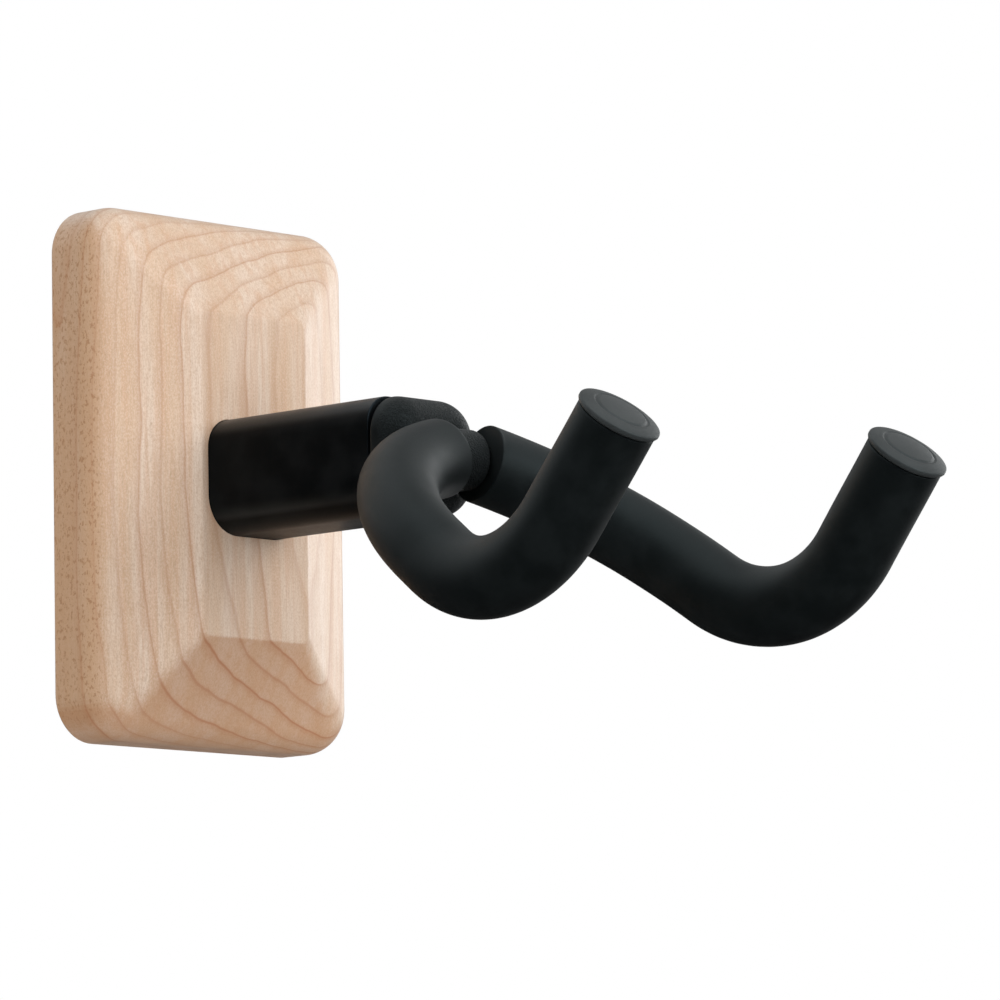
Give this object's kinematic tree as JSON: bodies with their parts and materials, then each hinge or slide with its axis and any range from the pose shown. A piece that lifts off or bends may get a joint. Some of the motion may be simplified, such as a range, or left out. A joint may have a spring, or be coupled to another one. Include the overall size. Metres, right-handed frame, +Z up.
{
  "type": "wall guitar hanger",
  "caption": "Wall hanger for a guitar: a bevelled wooden block on concealed keyholes, a hollow arm and a swivelling fork with foam-sleeved prongs.",
  "frame": {"origin": "centre of the wooden block's flat back face, which lies on the wall", "axes": "+Y into the wall, so the arm and fork point along -Y; +Z up; X across"},
  "size_m": [0.1142, 0.1925, 0.125],
  "materials": {
    "maple": "satin lacquer",
    "arm_black": "satin",
    "head_black": "satin, fine texture",
    "foam": "matte closed-cell foam",
    "cap_black": "satin",
    "steel": "zinc plated",
    "brass": "machined",
    "nylon": "natural nylon"
  },
  "bodies": {
    "mount": {"mounting_block": "maple", "keyhole_plate_upper": "steel", "keyhole_plate_lower": "steel", "keyhole_plate_screws": "steel", "arm_housing": "arm_black", "arm_screws": "steel", "arm_screw_washers": "steel", "arm_inserts": "brass", "pivot_bush": "nylon"},
    "yoke": {"pivot_bolt": "steel", "pivot_washer": "steel", "disc_spring": "steel", "thrust_washer": "nylon", "swivel_head": "head_black", "yoke_rod": "steel", "rod_lock_pin": "steel", "foam_sleeve_left": "foam", "foam_sleeve_right": "foam", "end_cap_left": "cap_black", "end_cap_right": "cap_black"}
  },
  "joints": [
    {"name": "yoke_swivel", "type": "hinge", "parent": "mount", "child": "yoke", "pos_m": [0, -0.077, -0.0007], "axis": [0, 1, 0], "range_deg": [-45, 45]}
  ]
}
